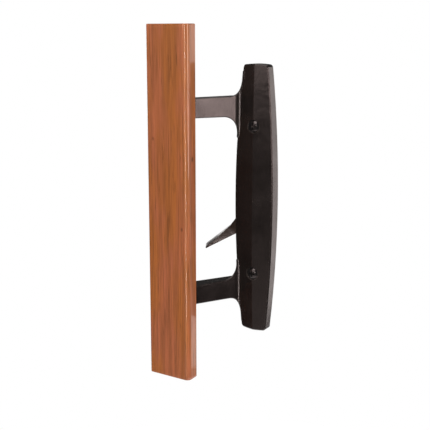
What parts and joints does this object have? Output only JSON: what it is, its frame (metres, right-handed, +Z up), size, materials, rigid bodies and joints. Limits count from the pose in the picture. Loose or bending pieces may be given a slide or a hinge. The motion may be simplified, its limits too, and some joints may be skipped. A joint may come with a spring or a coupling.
{
  "type": "sliding door handle set",
  "caption": "Inside half of a sliding patio door handle set: ridged escutcheon with slanted arms, offset wooden grip and a turning latch lever.",
  "frame": {"origin": "on the door's face, on the lever's axis and midway between the mounting screws", "axes": "+X across the plate, away from the grip; +Y into the door; +Z up along the plate"},
  "size_m": [0.067, 0.0721, 0.2314],
  "materials": {
    "casting_paint": "satin black paint",
    "lever_paint": "satin dark brown paint",
    "screw_paint": "glossy black paint",
    "grip_wood": "reddish stain under satin lacquer",
    "plated_steel": "bright zinc plate",
    "washer_plastic": "natural nylon"
  },
  "bodies": {
    "base": {"base_casting": "casting_paint", "wood_grip": "grip_wood", "mounting_screws": "screw_paint", "grip_screws": "plated_steel", "spring_washer": "plated_steel", "thrust_washer": "washer_plastic", "retaining_plate": "plated_steel", "retaining_screws": "plated_steel"},
    "lever": {"latch_lever": "lever_paint", "drive_tailpiece": "plated_steel", "tailpiece_pin": "plated_steel"}
  },
  "joints": [
    {"name": "lever_pivot", "type": "hinge", "parent": "base", "child": "lever", "pos_m": [0, -0.00375, 0], "axis": [0, 1, 0], "range_deg": [0, 90]}
  ]
}
